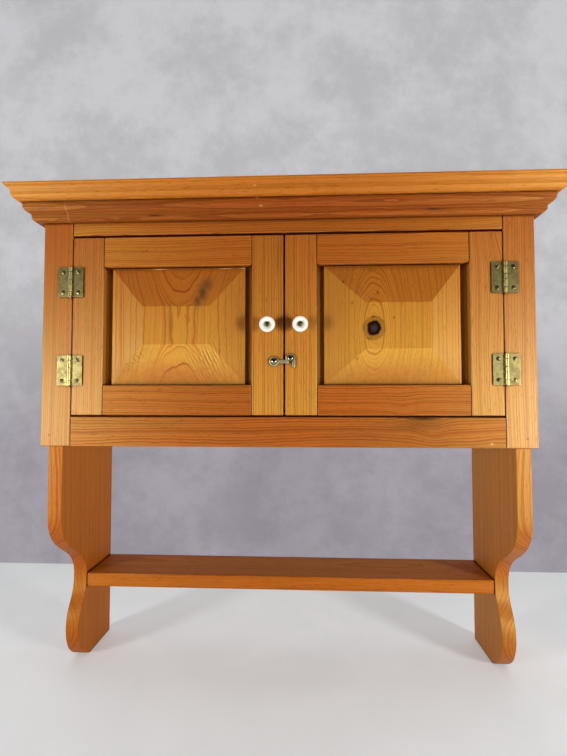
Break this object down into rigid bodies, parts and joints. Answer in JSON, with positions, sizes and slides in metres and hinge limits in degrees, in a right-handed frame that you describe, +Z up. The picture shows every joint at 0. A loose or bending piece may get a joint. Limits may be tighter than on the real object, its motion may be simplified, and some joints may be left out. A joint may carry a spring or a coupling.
{
  "type": "hanging wall cupboard",
  "caption": "Small varnished pine wall cupboard with two raised-panel doors, a moulded top and shaped sides that carry an open shelf below.",
  "frame": {"origin": "on the wall plane, where the back panel's back face meets the middle of the hanging rail behind it", "axes": "+X to the right along the width as seen from the front, +Y back into the wall, +Z up"},
  "size_m": [0.6886, 0.2119, 0.6409],
  "materials": {
    "case_pine": "honey varnished pine, worn arrises",
    "door_pine": "amber varnished pine",
    "panel_pine": "amber varnished knotty pine",
    "moulding_pine": "darker varnished pine",
    "inside_pine": "bare, aged pine",
    "aged_brass": "tarnished, rubbed brass",
    "dark_brass": "dark tarnished brass",
    "porcelain": "white glazed porcelain"
  },
  "bodies": {
    "carcass": {"back_panel": "inside_pine", "bed_moulding_front": "moulding_pine", "bed_moulding_left": "moulding_pine", "bed_moulding_right": "moulding_pine", "cupboard_floor": "inside_pine", "face_rail_bottom": "case_pine", "face_rail_top": "case_pine", "face_stile_left": "case_pine", "face_stile_right": "case_pine", "hanging_rail": "inside_pine", "hinge_left_lower_frame_leaf": "aged_brass", "hinge_left_lower_frame_screw_1": "dark_brass", "hinge_left_lower_frame_screw_2": "dark_brass", "hinge_left_lower_pin": "dark_brass", "hinge_left_upper_frame_leaf": "aged_brass", "hinge_left_upper_frame_screw_1": "dark_brass", "hinge_left_upper_frame_screw_2": "dark_brass", "hinge_left_upper_pin": "dark_brass", "hinge_right_lower_frame_leaf": "aged_brass", "hinge_right_lower_frame_screw_1": "dark_brass", "hinge_right_lower_frame_screw_2": "dark_brass", "hinge_right_lower_pin": "dark_brass", "hinge_right_upper_frame_leaf": "aged_brass", "hinge_right_upper_frame_screw_1": "dark_brass", "hinge_right_upper_frame_screw_2": "dark_brass", "hinge_right_upper_pin": "dark_brass", "lower_shelf": "case_pine", "side_left": "case_pine", "side_right": "case_pine", "top_board": "case_pine"},
    "door_left": {"door_left_hinge_stile": "door_pine", "door_left_meeting_stile": "door_pine", "door_left_panel": "panel_pine", "door_left_rail_bottom": "door_pine", "door_left_rail_top": "door_pine", "hinge_left_lower_door_leaf": "aged_brass", "hinge_left_lower_door_screw_1": "dark_brass", "hinge_left_lower_door_screw_2": "dark_brass", "hinge_left_upper_door_leaf": "aged_brass", "hinge_left_upper_door_screw_1": "dark_brass", "hinge_left_upper_door_screw_2": "dark_brass", "knob_left": "porcelain", "knob_screw_left": "dark_brass", "latch_pivot_screw": "dark_brass"},
    "door_right": {"door_right_hinge_stile": "door_pine", "door_right_meeting_stile": "door_pine", "door_right_panel": "panel_pine", "door_right_rail_bottom": "door_pine", "door_right_rail_top": "door_pine", "hinge_right_lower_door_leaf": "aged_brass", "hinge_right_lower_door_screw_1": "dark_brass", "hinge_right_lower_door_screw_2": "dark_brass", "hinge_right_upper_door_leaf": "aged_brass", "hinge_right_upper_door_screw_1": "dark_brass", "hinge_right_upper_door_screw_2": "dark_brass", "knob_right": "porcelain", "knob_screw_right": "dark_brass", "latch_catch_screw": "dark_brass"},
    "hook": {"latch_hook": "aged_brass"}
  },
  "joints": [
    {"name": "door_left_hinge", "type": "hinge", "parent": "carcass", "child": "door_left", "pos_m": [-0.2724, -0.1798, -0.1263], "axis": [0, 0, -1], "range_deg": [0, 180]},
    {"name": "door_right_hinge", "type": "hinge", "parent": "carcass", "child": "door_right", "pos_m": [0.2724, -0.1798, -0.1263], "axis": [0, 0, 1], "range_deg": [0, 180]},
    {"name": "hook_pivot", "type": "hinge", "parent": "door_left", "child": "hook", "pos_m": [-0.0114, -0.1784, -0.1724], "axis": [0, -1, 0], "range_deg": [0, 270]}
  ]
}
